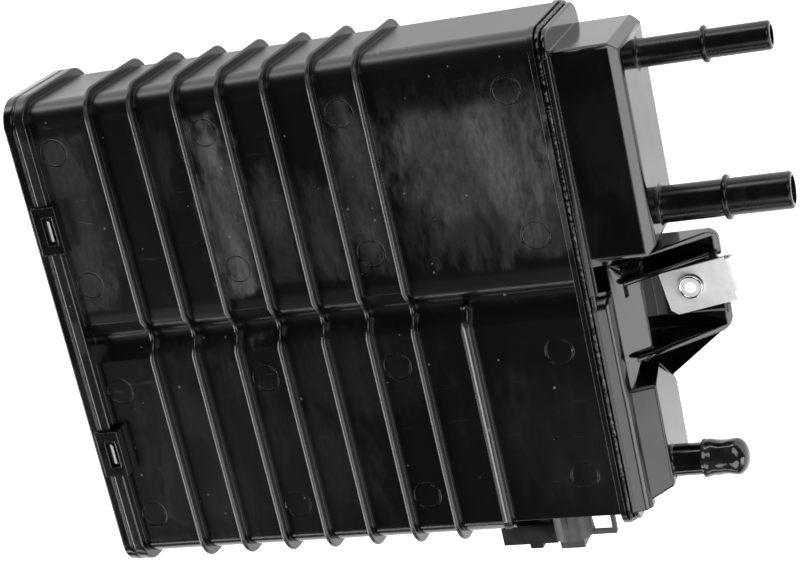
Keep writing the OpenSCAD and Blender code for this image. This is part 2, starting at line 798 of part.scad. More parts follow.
module valve_end_block() color(black) {
    half = block_w / 2;
    block([valve_pos[0] - half, valve_pos[1] - block_h, valve_pos[2] - half],
          [valve_pos[0] + half, valve_pos[1], valve_pos[2] + half]);
}

module valve_seal() color(soft_black) seal_ring(seal_t / 2);

// Two blades in the connector socket
module valve_terminals() color(copper) {
    blade_w = 2.8;
    blade_t = 0.8;
    x = valve_pos[0] - plug_l + socket_l;
    y = (plug_y0 + plug_y1) / 2;
    for (s = [-1, 1]) {
        z = valve_pos[2] + s * plug_w / 5;
        block([x - socket_l * 0.6, y - blade_t / 2, z - blade_w / 2],
              [x, y + blade_t / 2, z + blade_w / 2]);
    }
}

module main_carbon_bed() color(carbon)
    slab(stack_x, body_l - grid_t - filter_t) chamber(1, fit);

module vent_carbon_bed() color(carbon)
    slab(stack_x, vent_end - grid_t - filter_t) chamber(-1, fit);

module main_cover_filter() color(felt) slab(stack_x - filter_t, stack_x) chamber(1, fit);

module vent_cover_filter() color(felt) slab(stack_x - filter_t, stack_x) chamber(-1, fit);

module main_head_filter() color(felt)
    slab(body_l - grid_t - filter_t, body_l - grid_t) chamber(1, fit);

module vent_head_filter() color(felt)
    slab(vent_end - grid_t - filter_t, vent_end - grid_t) chamber(-1, fit);

module main_head_grid() color(black) grid(body_l - grid_t, 1, main_mid);

module vent_head_grid() color(black) grid(vent_end - grid_t, -1, vent_mid);

module main_retainer_plate() color(black) retainer(1, main_mid);

module vent_retainer_plate() color(black) retainer(-1, vent_mid);

// Flat plate with a pattern of windows
module grid(x, side, middle) {
    span_y = top_y - groove_y - 3 * wall - groove_w / 2 - 2 * corner_r;
    span_z = body_d - 4 * wall - 2 * groove_depth;
    step_y = span_y / grid_cols;
    step_z = span_z / grid_rows;
    difference() {
        slab(x, x + grid_t) chamber(side, fit);
        for (i = [0 : grid_cols - 1], j = [0 : grid_rows - 1]) {
            y = middle + (i + 0.5) * step_y - span_y / 2;
            z = mid_z + (j + 0.5) * step_z - span_z / 2;
            block([x - 1, y - (step_y - grid_bar) / 2, z - (step_z - grid_bar) / 2],
                  [x + grid_t + 1, y + (step_y - grid_bar) / 2, z + (step_z - grid_bar) / 2]);
        }
    }
}

// Retainer plate: a grid with two cups that hold the springs
module retainer(side, middle) {
    cup_r = spring_d / 2 - spring_wire / 2 - fit;
    grid(plenum_l, side, middle);
    for (s = [-1, 1]) difference() {
        rod_x([plenum_l - grid_t, middle + s * spring_gap / 2, mid_z], cup_r, grid_t + 1);
        rod_x([plenum_l - grid_t - 1, middle + s * spring_gap / 2, mid_z], cup_r - 2, 2 * grid_t);
    }
}

module main_spring_upper() color(spring_steel) spring(main_mid + spring_gap / 2);

module main_spring_lower() color(spring_steel) spring(main_mid - spring_gap / 2);

module vent_spring_upper() color(spring_steel) spring(vent_mid + spring_gap / 2);

module vent_spring_lower() color(spring_steel) spring(vent_mid - spring_gap / 2);

// Coil between the end cover and a retainer plate, swept as rings along a helix
module spring(y) {
    sides = 8;
    per_turn = 14;
    rings = per_turn * spring_turns;
    x0 = cover_in + spring_wire / 2 + fit / 3;
    x1 = plenum_l - spring_wire / 2 - fit / 3;
    function at(i, k) = let (a = 360 * i / per_turn, b = 360 * k / sides,
        r = spring_d / 2 + spring_wire / 2 * cos(b))
        [x0 + (x1 - x0) * i / rings + spring_wire / 2 * sin(b), y + r * cos(a), mid_z + r * sin(a)];
    points = [for (i = [0 : rings], k = [0 : sides - 1]) at(i, k)];
    skin = [for (i = [0 : rings - 1], k = [0 : sides - 1]) let (n = (k + 1) % sides)
        [i * sides + k, i * sides + n, (i + 1) * sides + n, (i + 1) * sides + k]];
    first = [for (k = [sides - 1 : -1 : 0]) k];
    last = [for (k = [0 : sides - 1]) rings * sides + k];
    polyhedron(points, concat(skin, [first, last]));
}

placed() {
    canister_body();
    end_cover();
    head_cover();
    clip_nut();
    port_cap();
    valve_barrel();
    valve_end_block();
    valve_seal();
    valve_terminals();
    main_carbon_bed();
    vent_carbon_bed();
    main_cover_filter();
    main_head_filter();
    vent_cover_filter();
    vent_head_filter();
    main_head_grid();
    vent_head_grid();
    main_retainer_plate();
    vent_retainer_plate();
    main_spring_upper();
    main_spring_lower();
    vent_spring_upper();
    vent_spring_lower();
}
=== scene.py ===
import json
import math

import bmesh
import bpy
from mathutils import Matrix, Vector, noise


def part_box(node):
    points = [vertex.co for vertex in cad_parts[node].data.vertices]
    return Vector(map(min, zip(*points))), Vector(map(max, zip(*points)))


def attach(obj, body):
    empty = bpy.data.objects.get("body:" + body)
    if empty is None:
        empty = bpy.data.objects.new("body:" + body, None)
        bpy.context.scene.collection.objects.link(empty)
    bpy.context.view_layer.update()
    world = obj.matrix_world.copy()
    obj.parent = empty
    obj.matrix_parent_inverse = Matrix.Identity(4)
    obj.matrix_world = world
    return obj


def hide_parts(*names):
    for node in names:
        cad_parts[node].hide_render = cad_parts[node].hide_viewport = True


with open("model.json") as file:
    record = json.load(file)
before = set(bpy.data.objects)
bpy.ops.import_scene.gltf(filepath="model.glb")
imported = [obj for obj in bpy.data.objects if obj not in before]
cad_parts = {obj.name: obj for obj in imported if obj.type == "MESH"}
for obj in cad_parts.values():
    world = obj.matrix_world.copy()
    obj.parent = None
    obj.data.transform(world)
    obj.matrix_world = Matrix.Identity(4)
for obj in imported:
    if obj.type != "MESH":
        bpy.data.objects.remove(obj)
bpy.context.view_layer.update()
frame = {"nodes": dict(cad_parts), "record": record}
nodes = frame["nodes"]
mm = 0.001
print("frame loaded:", len(nodes), "nodes")

view = {
    "place": (307.0, 285.75, 844.3),  # camera place in mm
    "right": (0.93207, -0.21314, -0.29294),
    "up": (0.09904, 0.92773, -0.35988),
    "back": (0.34847, 0.30642, 0.88582),
    "lens": 92.45,
    "sensor": 36.0,
    "near": 0.05,  # m
    "far": 30.0,
}


def addCamera():
    data = bpy.data.cameras.new("photoCamera")
    data.lens = view["lens"]
    data.sensor_width = view["sensor"]
    data.clip_start = view["near"]
    data.clip_end = view["far"]
    camera = bpy.data.objects.new("photoCamera", data)
    axes = Matrix((view["right"], view["up"], view["back"])).transposed()
    camera.matrix_world = Matrix.Translation(Vector(view["place"]) * mm) @ axes.to_4x4()
    bpy.context.collection.objects.link(camera)
    bpy.context.scene.camera = camera


addCamera()
print("camera placed")

# Node helpers


class Sheet:
    def __init__(self, tree):
        self.tree = tree

    def feed(self, socket, value):  # a link or a plain value
        if isinstance(value, bpy.types.NodeSocket):
            self.tree.links.new(value, socket)
        else:
            socket.default_value = value

    def add(self, kind, values=None, **settings):
        node = self.tree.nodes.new(kind)
        for key, value in settings.items():
            setattr(node, key, value)
        for key, value in (values or {}).items():
            self.feed(node.inputs[key], value)
        return node

    def math(self, operation, a, b=0.0):
        return self.add("ShaderNodeMath", {0: a, 1: b}, operation=operation).outputs[0]

    def times(self, first, *others):
        for other in others:
            first = self.math("MULTIPLY", first, other)
        return first

    def without(self, mask):
        return self.math("SUBTRACT", 1.0, mask)

    def vector(self, operation, a, b):
        return self.add("ShaderNodeVectorMath", {0: a, 1: b}, operation=operation).outputs[0]

    def ramp(self, value, low, high, first=0.0, last=1.0):
        values = {"Value": value, "From Min": low, "From Max": high, "To Min": first, "To Max": last}
        return self.add("ShaderNodeMapRange", values, interpolation_type="SMOOTHSTEP").outputs[0]

    def span(self, value, ends):  # ends in mm
        return self.ramp(value, ends[0] * mm, ends[1] * mm)

    def mix(self, factor, a, b):  # 6 and 7 are the colour sockets
        return self.add("ShaderNodeMix", {0: factor, 6: a, 7: b}, data_type="RGBA").outputs[2]

    def noiseAt(self, place, scale, **more):
        return self.add("ShaderNodeTexNoise", {"Vector": place, "Scale": scale, **more})

    def place(self):  # in metres of the part's own frame
        return self.add("ShaderNodeTexCoord").outputs["Object"]

    def axes(self):
        return self.add("ShaderNodeSeparateXYZ", {0: self.place()}).outputs

    def group(self, tree, **values):
        return self.add("ShaderNodeGroup", values, node_tree=tree).outputs[0]


class Effect(Sheet):  # a node group with named inputs and one output
    def __init__(self, name, output, inputs):
        super().__init__(bpy.data.node_groups.new(name, "ShaderNodeTree"))
        sockets = self.tree.interface
        for label, value in inputs.items():
            kind = "NodeSocketVector" if isinstance(value, tuple) else "NodeSocketFloat"
            sockets.new_socket(label, in_out="INPUT", socket_type=kind).default_value = value
        sockets.new_socket(output, in_out="OUTPUT", socket_type="NodeSocketFloat")
        self.given = self.add("NodeGroupInput").outputs
        self.result = self.add("NodeGroupOutput")

    def close(self, value):
        self.feed(self.result.inputs[0], value)
        return self.tree


def grey(value, warm=0.0):
    return (value * (1 + warm), value, value * (1 - warm), 1.0)


# Shared surface effects


def makeCloudHaze():
    g = Effect("cloudHaze", "Mask", {"Scale": 30.0, "Stretch": 0.4, "Low": 0.4, "High": 0.65})
    squeeze = g.add("ShaderNodeCombineXYZ", {"X": 1.0, "Y": g.given["Stretch"], "Z": 1.0})
    stretched = g.vector("MULTIPLY", g.place(), squeeze.outputs[0])
    cloud = g.noiseAt(stretched, g.given["Scale"], Detail=4.0, Roughness=0.55, Distortion=0.6)
    return g.close(g.ramp(cloud.outputs["Fac"], g.given["Low"], g.given["High"]))


patchEdge = {
    "drawn": (1.0, 0.4, 1.0),  # marks run along y
    "ragged": 210.0,
    "swing": 3.0,
    "fade": (1.25, 0.45),  # outer and inner end, in reaches
    "mottle": 520.0,
    "mottled": (0.3, 0.7),
    "worn": 0.66,  # what is left in the thinnest marks
}


def makeSoftPatch():
    s = patchEdge
    g = Effect("softPatch", "Mask", {"Centre": (0, 0, 0), "Reach": (0.03, 0.03, 0.02), "Wander": 0.5})
    place = g.place()
    away = g.vector("SUBTRACT", place, g.given["Centre"])
    unit = g.vector("DIVIDE", away, g.given["Reach"])
    far = g.add("ShaderNodeVectorMath", {0: unit}, operation="LENGTH").outputs["Value"]
    drawn = g.vector("MULTIPLY", place, s["drawn"])
    ragged = g.noiseAt(drawn, s["ragged"], Detail=4.0, Roughness=0.6)
    swing = g.times(g.math("SUBTRACT", ragged.outputs["Fac"], 0.5), g.given["Wander"], s["swing"])
    mask = g.ramp(g.math("ADD", far, swing), *s["fade"])
    mottle = g.noiseAt(drawn, s["mottle"], Detail=4.0, Roughness=0.65)
    wiped = g.ramp(mottle.outputs["Fac"], *s["mottled"], s["worn"], 1.0)
    return g.close(g.times(mask, wiped))


def makeDustSpecks():
    g = Effect("dustSpecks", "Mask", {"Scale": 160.0, "Size": 0.07, "Share": 0.25})
    cells = g.add("ShaderNodeTexVoronoi", {"Vector": g.place(), "Scale": g.given["Scale"]})
    shade = g.add("ShaderNodeSeparateColor", {"Color": cells.outputs["Color"]}).outputs
    near = g.math("LESS_THAN", cells.outputs["Distance"], g.times(g.given["Size"], shade[1]))
    chosen = g.math("LESS_THAN", shade[0], g.given["Share"])
    return g.close(g.times(near, chosen))


rubWobble = {"scale": 12.0, "reach": (0.02, 0.02, 0.02)}  # m


def makeRubLines():
    g = Effect("rubLines", "Mask", {"Along": (14.0, 420.0, 300.0), "Low": 0.66, "High": 0.74})
    place = g.place()
    wobble = g.noiseAt(place, rubWobble["scale"], Detail=1.0)
    swing = g.vector("MULTIPLY", wobble.outputs["Color"], rubWobble["reach"])
    drawn = g.vector("MULTIPLY", g.vector("ADD", place, swing), g.given["Along"])
    lines = g.noiseAt(drawn, 1.0, Detail=3.0)
    return g.close(g.ramp(lines.outputs["Fac"], g.given["Low"], g.given["High"]))


def makeMouldGrain():
    g = Effect("mouldGrain", "Height", {"Fine": 1400.0, "Wave": 38.0, "Wave Share": 0.85})
    place = g.place()
    fine = g.noiseAt(place, g.given["Fine"], Detail=2.0)
    wave = g.noiseAt(place, g.given["Wave"], Detail=1.5)
    share = g.given["Wave Share"]
    tall = g.times(wave.outputs["Fac"], share)
    return g.close(g.math("ADD", tall, g.times(fine.outputs["Fac"], g.without(share))))


cloudHaze = makeCloudHaze()
softPatch = makeSoftPatch()
dustSpecks = makeDustSpecks()
rubLines = makeRubLines()
mouldGrain = makeMouldGrain()
print("surface effects ready")


def newMaterial(name, fixed):
    material = bpy.data.materials.new(name)
    material.use_nodes = True
    sheet = Sheet(material.node_tree)
    shader = material.node_tree.nodes["Principled BSDF"].inputs
    for key, value in fixed.items():
        shader[key].default_value = value
    return material, sheet, shader


def cloudMask(sheet, scale, stretch, low, high):
    return sheet.group(cloudHaze, Scale=scale, Stretch=stretch, Low=low, High=high)


def speckMask(sheet, scale, size, share):
    return sheet.group(dustSpecks, Scale=scale, Size=size, Share=share)


def rubMask(sheet, along, low=0.66, high=0.74):
    return sheet.group(rubLines, Along=along, Low=low, High=high)


def grainBump(sheet, shader, grain, bump, edge=0.0):
    fine, wave, share = grain
    distance, strength = bump
    height = sheet.group(mouldGrain, **{"Fine": fine, "Wave": wave, "Wave Share": share})
    node = sheet.add("ShaderNodeBump", {"Height": height, "Distance": distance, "Strength": strength})
    if edge > 0:  # worn edges
        soft = sheet.add("ShaderNodeBevel", {"Radius": edge * mm}, samples=6)
        sheet.feed(node.inputs["Normal"], soft.outputs["Normal"])
    sheet.feed(shader["Normal"], node.outputs["Normal"])


mouldedBlack = {
    "fixed": {"Specular IOR Level": 0.5},
    "clouds": (42.0, 0.35, 0.34, 0.66),  # scale, stretch, low, high
    "dark": 0.0012,
    "clear": 0.003,
    "clearShare": 0.6,
    "haze": (0.07683, 0.07956, 0.07644, 1.0),
    "hazeLow": 0.5,  # in the clear parts of the clouds
    "hazeTop": (105.5, 101.0),  # y in mm, the haze stops short of the corner (painted shade along the top)
    "hazeFoot": (22.0, 18.5),  # and of the groove
    "hazeSwing": 5.0,  # mm
    "panelDrop": 5.5,  # mm from the rib crests to the panels
    "patchDepth": 12.0,  # mm
    "patchWander": 0.55,
    "crest": 0.03,  # painted highlight: lighter colour on the rib crests
    "crestShare": 0.7,
    "crestFrom": (66.2, 67.8),  # z in mm
    "crestRim": (-150.0, -147.0),  # x in mm, the painted highlight stops before the cover rim
    "topEdge": (104.0, 112.0),  # y in mm, duller towards the top corner
    "grooveFoot": (-2.0, 2.0),  # y in mm, the groove is rubbed dull
    "grooveTop": (18.0, 15.0),
    "speck": 0.22,
    "speckShare": 0.55,
    "specks": (190.0, 0.13, 0.36),  # scale, size, share
    "rubs": (60.0, 500.0, 300.0),  # marks per metre along x, y, z
    "rough": (0.19, 0.42),  # clear, hazy
    "dulled": {"rubs": 0.07, "crest": 0.07, "topEdge": 0.12, "groove": 0.07},
    "grain": (1300.0, 36.0, 0.85),  # fine, wave, the wave's share
    "bump": (0.0006, 0.3),  # distance in m, strength
    "edge": 0.4,  # mm
    "patches": [  # x, y, reach x, reach y in mm, strength
        (-146, 66, 22, 62, 0.32),
        (-71, 56, 12, 58, 1.0),
        (-8, 60, 12, 48, 0.52),
        (-99, 84, 9, 26, 0.22),
        (44, 64, 42, 44, 0.9),
        (30, 76, 22, 22, 1.0),
        (68, 40, 18, 22, 0.6),
        (-50, 42, 10, 34, 0.38),
        (-29, 40, 10, 34, 0.4),
        (-30, -22, 40, 22, 0.12),
        (-104, -52, 38, 58, 0.16),
        (-60, -70, 34, 40, 0.13),
        (52, -60, 34, 30, 0.1),
    ],
    "shades": [  # darker gaps in the haze; the first, along the top corner, is painted shade
        (40, 99, 36, 10, 1.0),
        (13, 36, 9, 18, 0.6),
        (40, 32, 15, 16, 0.75),
    ],
}


def panelHaze(sheet, spots):
    s = mouldedBlack
    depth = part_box("canister_body")[1].z - s["panelDrop"] * mm
    total = None
    for x, y, reachX, reachY, strength in spots:
        centre = (x * mm, y * mm, depth)
        reach = (reachX * mm, reachY * mm, s["patchDepth"] * mm)
        spot = sheet.group(softPatch, Centre=centre, Reach=reach, Wander=s["patchWander"])
        part = sheet.times(spot, strength)
        total = part if total is None else sheet.math("MAXIMUM", total, part)
    return total


def makeBodyPlastic():
    s = mouldedBlack
    material, sheet, shader = newMaterial("bodyPlastic", s["fixed"])
    clouds = cloudMask(sheet, *s["clouds"])
    axes = sheet.axes()
    swing = sheet.times(sheet.math("SUBTRACT", clouds, 0.5), s["hazeSwing"] * mm)
    height = sheet.math("ADD", axes["Y"], swing)
    above = sheet.span(axes["Y"], s["grooveFoot"])
    foot = sheet.times(sheet.span(height, s["hazeFoot"]), above)
    masks = {
        "rubs": rubMask(sheet, s["rubs"]),
        "crest": sheet.times(sheet.span(axes["Z"], s["crestFrom"]), sheet.span(axes["X"], s["crestRim"])),
        "topEdge": sheet.span(axes["Y"], s["topEdge"]),
        "groove": sheet.times(above, sheet.span(axes["Y"], s["grooveTop"])),
    }
    # the gaps in the haze along the top corner are painted shade
    haze = sheet.times(
        panelHaze(sheet, s["patches"]),
        sheet.ramp(clouds, 0.0, 1.0, s["hazeLow"], 1.0),
        sheet.without(panelHaze(sheet, s["shades"])),
        sheet.span(height, s["hazeTop"]),
        sheet.without(foot),
    )
    colour = sheet.mix(sheet.times(clouds, s["clearShare"]), grey(s["dark"]), grey(s["clear"]))
    colour = sheet.mix(haze, colour, s["haze"])
    # painted highlight on the rib crests
    colour = sheet.mix(sheet.times(masks["crest"], s["crestShare"]), colour, grey(s["crest"]))
    specks = sheet.times(speckMask(sheet, *s["specks"]), s["speckShare"])
    sheet.feed(shader["Base Color"], sheet.mix(specks, colour, grey(s["speck"])))
    rough = sheet.ramp(haze, 0.0, 1.0, *s["rough"])
    for key, extra in s["dulled"].items():
        rough = sheet.math("ADD", rough, sheet.times(masks[key], extra))
    sheet.feed(shader["Roughness"], rough)
    grainBump(sheet, shader, s["grain"], s["bump"], s["edge"])
    return material


headGloss = {
    "fixed": {"Specular IOR Level": 0.5},
    "clouds": (55.0, 0.6, 0.36, 0.7),
    "clear": grey(0.0018, -0.06),
    "dull": grey(0.005, -0.02),
    "speck": grey(0.13),
    "speckShare": 0.5,
    "specks": (230.0, 0.1, 0.12),
    "rubs": ((420.0, 30.0, 300.0), 0.62, 0.76),
    "rubsDull": 0.06,
    "rough": (0.11, 0.17),  # clear, dull
    "grain": (1500.0, 40.0, 0.85),
    "bump": (0.0004, 0.15),
    "edge": 0.9,  # mm
}


def makeHeadPlastic():
    s = headGloss
    material, sheet, shader = newMaterial("headPlastic", s["fixed"])
    clouds = cloudMask(sheet, *s["clouds"])
    specks = sheet.times(speckMask(sheet, *s["specks"]), s["speckShare"])
    colour = sheet.mix(clouds, s["clear"], s["dull"])
    sheet.feed(shader["Base Color"], sheet.mix(specks, colour, s["speck"]))
    rubbed = sheet.times(rubMask(sheet, *s["rubs"]), s["rubsDull"])
    rough = sheet.ramp(clouds, 0.0, 1.0, *s["rough"])
    sheet.feed(shader["Roughness"], sheet.math("ADD", rough, rubbed))
    grainBump(sheet, shader, s["grain"], s["bump"], s["edge"])
    return material


valveBlack = {
    "fixed": {"Specular IOR Level": 0.3},
    "clouds": (120.0, 1.0, 0.35, 0.7),
    "plug": (grey(0.003), grey(0.008)),  # the plug end is darker
    "barrel": (grey(0.06), grey(0.09)),
    "change": (41.0, 46.0),  # x in mm
    "rough": (0.4, 0.52),
    "grain": (1800.0, 90.0, 0.85),
    "bump": (0.0004, 0.3),
}


def makeValvePlastic():
    s = valveBlack
    material, sheet, shader = newMaterial("valvePlastic", s["fixed"])
    clouds = cloudMask(sheet, *s["clouds"])
    barrel = sheet.span(sheet.axes()["X"], s["change"])
    colour = sheet.mix(barrel, sheet.mix(clouds, *s["plug"]), sheet.mix(clouds, *s["barrel"]))
    sheet.feed(shader["Base Color"], colour)
    sheet.feed(shader["Roughness"], sheet.ramp(clouds, 0.0, 1.0, *s["rough"]))
    grainBump(sheet, shader, s["grain"], s["bump"])
    return material


finishes = {  # two colours and two roughnesses mixed by clouds or rub lines
    "pipeSatin": {
        "fixed": {"Specular IOR Level": 0.32}, "clouds": (90.0, 1.0, 0.35, 0.7),
        "colours": (grey(0.002, -0.06), grey(0.004, -0.06)), "rough": (0.23, 0.3),
        "grain": (1800.0, 90.0, 0.85), "bump": (0.0004, 0.25),
    },
    "armShadeMatte": {  # painted shade: near black and without gloss, for the shaded arm web and the notch behind the weld lip
        "fixed": {"Specular IOR Level": 0.0}, "clouds": (80.0, 0.8, 0.35, 0.7),
        "colours": (grey(0.001), grey(0.003)), "rough": (0.6, 0.75),
        "grain": (2200.0, 60.0, 0.4), "bump": (0.0004, 0.4),
    },
    "capVinyl": {
        "fixed": {"Specular IOR Level": 0.6}, "clouds": (170.0, 1.0, 0.35, 0.7),
        "colours": (grey(0.008), grey(0.018)), "rough": (0.09, 0.2),
        "grain": (900.0, 160.0, 0.85), "bump": (0.0008, 0.35),
    },
    "zincSheet": {
        "fixed": {"Metallic": 0.5}, "clouds": (260.0, 0.5, 0.3, 0.7),
        "colours": (grey(0.86), grey(0.95)), "rough": (0.68, 0.82),
        "rubs": ((60.0, 1500.0, 900.0), 0.5, 0.75),
        "grain": (2400.0, 200.0, 0.5), "bump": (0.0002, 0.3),
    },
    "collarZinc": {
        "fixed": {"Metallic": 1.0}, "clouds": (420.0, 1.0, 0.3, 0.7),
        "colours": (grey(0.7), grey(0.88)), "rough": (0.08, 0.18),
    },
}
innerCommon = {
    "clouds": (1.0, 0.3, 0.7),  # stretch, low, high
    "rougher": 0.15,  # in the clouds
    "finer": 6,  # grain to clouds
    "waveShare": 0.85,
    "bump": (0.0006, 0.4),
}


def innerFinish(low, high, rough, fine, metallic=0.0):
    s = innerCommon
    return {
        "fixed": {"Metallic": metallic}, "clouds": (fine, *s["clouds"]),
        "colours": (low, high), "rough": (rough, rough + s["rougher"]),
        "grain": (fine * s["finer"], fine, s["waveShare"]), "bump": s["bump"],
    }


innerFinishes = {  # slot: material, two colours, roughness, fineness, metallic
    "carbon_granules": ("carbonGrain", grey(0.012), grey(0.05), 0.7, 700.0),
    "filter_felt": ("feltPad", grey(0.5, 0.03), grey(0.66, 0.03), 0.85, 900.0),
    "inner_plastic": ("gridPlastic", grey(0.015), grey(0.03), 0.35, 160.0),
    "spring_steel": ("springWire", grey(0.45), grey(0.6), 0.25, 400.0, 1.0),
    "terminal_metal": ("bladeBrass", (0.6, 0.4, 0.2, 1), (0.72, 0.52, 0.28, 1), 0.3, 500.0, 1.0),
}


def makeFinish(name, s):
    material, sheet, shader = newMaterial(name, s["fixed"])
    clouds = cloudMask(sheet, *s["clouds"])
    worn = rubMask(sheet, *s["rubs"]) if "rubs" in s else clouds
    sheet.feed(shader["Base Color"], sheet.mix(clouds, *s["colours"]))
    sheet.feed(shader["Roughness"], sheet.ramp(worn, 0.0, 1.0, *s["rough"]))
    if "grain" in s:
        grainBump(sheet, shader, s["grain"], s["bump"])
    return material


bodyPlastic = makeBodyPlastic()
headPlastic = makeHeadPlastic()
valvePlastic = makeValvePlastic()
looks = {name: makeFinish(name, s) for name, s in finishes.items()}
innerLooks = {}
for slot, (name, *values) in innerFinishes.items():
    innerLooks[slot] = makeFinish(name, innerFinish(*values))
print("materials ready")

# Moulded shells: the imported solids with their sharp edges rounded

rounding = {
    "join": 1e-6,  # m
    "flat": 0.008,  # radians, faces nearer than this become one
    "crestAngle": 1.0,  # radians, as all edge angles here
    "crestLength": 250.0,  # mm around, shorter loops stay sharp
    "wallTilt": 0.1,  # most x in a side wall's normal
    "endTilt": 0.99,  # least x in an end face's normal
    "crestSteps": 4,
    "bodyEnd": 6.0,  # mm before the body's end
    "tongueEnd": 81.0,  # x in mm, the head's weld tongue ends here
    "boxStart": 83.5,  # and its boxes start here
    "boxRound": 1.2,  # mm
    "boxAngle": 0.5,
    "boxShortest": 14.0,  # mm
    "boxSmallest": 60.0,  # mm2, faces beside the edge
    "openAngle": 0.56,
    "openRoom": 2.4,  # radii of free face beside the edge
    "openSteps": 2,
    "smooth": 25,  # degrees, for shells with crests
    "smoothSmall": 50,
    "flatWeight": 80,
}


def sharpEdges(shell, angle):
    for edge in shell.edges:
        if edge.is_manifold and edge.is_convex and edge.calc_face_angle(0) >= angle:
            yield edge


def crestLoops(shell, first, last):
    levels = {}
    for edge in sharpEdges(shell, rounding["crestAngle"]):
        x = edge.verts[0].co.x
        sides = sorted(abs(face.normal.x) for face in edge.link_faces)
        meets = sides[0] < rounding["wallTilt"] and sides[1] > rounding["endTilt"]
        if meets and first < x < last:
            levels.setdefault(round(x, 5), []).append(edge)
    loops = []
    for level in levels.values():
        if sum(edge.calc_length() for edge in level) > rounding["crestLength"] * mm:
            loops += level
    return loops


def openEdges(shell, radius):
    chosen = []
    for edge in sharpEdges(shell, rounding["openAngle"]):
        room = min(other.calc_length() for face in edge.link_faces for other in face.edges)
        if room > rounding["openRoom"] * radius:
            chosen.append(edge)
    return chosen


def boxEdges(shell):
    s = rounding
    chosen = []
    for edge in sharpEdges(shell, s["boxAngle"]):
        area = min(face.calc_area() for face in edge.link_faces)
        start = min(vert.co.x for vert in edge.verts)
        large = area > s["boxSmallest"] * mm * mm and edge.calc_length() > s["boxShortest"] * mm
        if large and start > s["boxStart"] * mm:
            chosen.append(edge)
    return chosen


def bevelInto(shell, edges, radius, steps):
    bmesh.ops.bevel(
        shell, geom=edges, offset=radius, offset_type="OFFSET", segments=steps, profile=0.5,
        affect="EDGES", clamp_overlap=False, miter_outer="SHARP", miter_inner="SHARP",
    )


def asPiece(mesh, piece, material, node=None, smooth=rounding["smooth"]):
    mesh.shade_smooth()
    mesh.set_sharp_from_angle(angle=math.radians(smooth))
    made = bpy.data.objects.new(piece, mesh)
    bpy.context.collection.objects.link(made)
    weigh = made.modifiers.new("flatFaces", "WEIGHTED_NORMAL")
    weigh.keep_sharp = True
    weigh.weight = rounding["flatWeight"]
    mesh.materials.append(material)
    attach(made, "root")
    if node:
        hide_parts(node)
    return made


def roundedShell(node, piece, material, slot, crest, radius):
    s = rounding
    shell = bmesh.new()
    shell.from_mesh(nodes[node].data)
    bmesh.ops.remove_doubles(shell, verts=shell.verts, dist=s["join"])
    bmesh.ops.dissolve_limit(shell, angle_limit=s["flat"], verts=shell.verts, edges=shell.edges)
    if crest > 0:
        low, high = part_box(node)
        first = s["tongueEnd"] * mm if node == "head_cover" else low.x - mm  # weld edges stay crisp
        last = high.x - s["bodyEnd"] * mm if node == "canister_body" else high.x + mm
        bevelInto(shell, crestLoops(shell, first, last), crest * mm, s["crestSteps"])
    if node == "head_cover":
        bevelInto(shell, boxEdges(shell), s["boxRound"] * mm, s["crestSteps"])
    if radius > 0:
        bevelInto(shell, openEdges(shell, radius * mm), radius * mm, s["openSteps"])
    bmesh.ops.dissolve_degenerate(shell, dist=s["join"], edges=shell.edges)
    mesh = bpy.data.meshes.new(piece)
    shell.to_mesh(mesh)
    shell.free()
    return asPiece(mesh, piece, material, node, s["smooth"] if crest > 0 else s["smoothSmall"])


shells = {  # piece, material, slot, crest radius, radius of other edges in mm
    "canister_body": ("bodyShell", bodyPlastic, "black_plastic", 1.0, 0),
    "end_cover": ("endShell", headPlastic, "black_plastic", 0.7, 0),
    "head_cover": ("headShell", headPlastic, "black_plastic", 1.1, 0),
    "valve_barrel": ("valveShell", valvePlastic, "valve_plastic", 0, 0.35),
    "valve_end_block": ("valveFoot", valvePlastic, "valve_plastic", 0, 0.5),
    "clip_nut": ("clipNut", looks["zincSheet"], "zinc_steel", 0, 0.25),
}
dressed = {}
for node, settings in shells.items():
    dressed[node] = roundedShell(node, *settings)
    print("shell", settings[0], len(dressed[node].data.polygons), "faces")

# Faces of a shell that have their own finish


def faceLook(made, material, chosen):
    made.data.materials.append(material)
    last = len(made.data.materials) - 1
    for face in made.data.polygons:
        if chosen(face):
            face.material_index = last


def awayFrom(first, second, centre):
    return math.hypot(first - centre[0] * mm, second - centre[1] * mm)


collar = {"axis": (117.7, -9.3), "reach": 5.7, "steep": 0.8}  # x and y of the fixing thread, mm


def onCollar(face):
    away = awayFrom(face.center.x, face.center.y, collar["axis"])
    return away < collar["reach"] * mm and abs(face.normal.z) < collar["steep"]


armWeb = {"from": 100.0, "normal": (0.3, -0.5, 0.3)}  # x in mm, least tilt to each side


def onWeb(face):
    x, y, z = armWeb["normal"]
    tilted = face.normal.x > x and face.normal.y < y and face.normal.z > z
    return tilted and face.center.x > armWeb["from"] * mm


pipes = {
    "from": 105.0,  # x in mm
    "axes": [(28.95, 35.3, 7.9), (92.85, 27.5, 6.1)],  # y, z, radius in mm
    "reach": 1.35,  # radii
    "endFace": 0.995,  # faces turned more to x than this keep the head's gloss
}


def onPipe(face):
    if face.center.x < pipes["from"] * mm or abs(face.normal.x) > pipes["endFace"]:
        return False
    for y, z, radius in pipes["axes"]:
        if awayFrom(face.center.y, face.center.z, (y, z)) < radius * pipes["reach"] * mm:
            return True
    return False


faceLook(dressed["clip_nut"], looks["collarZinc"], onCollar)
# painted shade on the arm web
faceLook(dressed["head_cover"], looks["armShadeMatte"], onWeb)
faceLook(dressed["head_cover"], looks["pipeSatin"], onPipe)
print("nut collar, web and pipes finished")

# Small forms: each is a row of outlines in mm with a skin over them


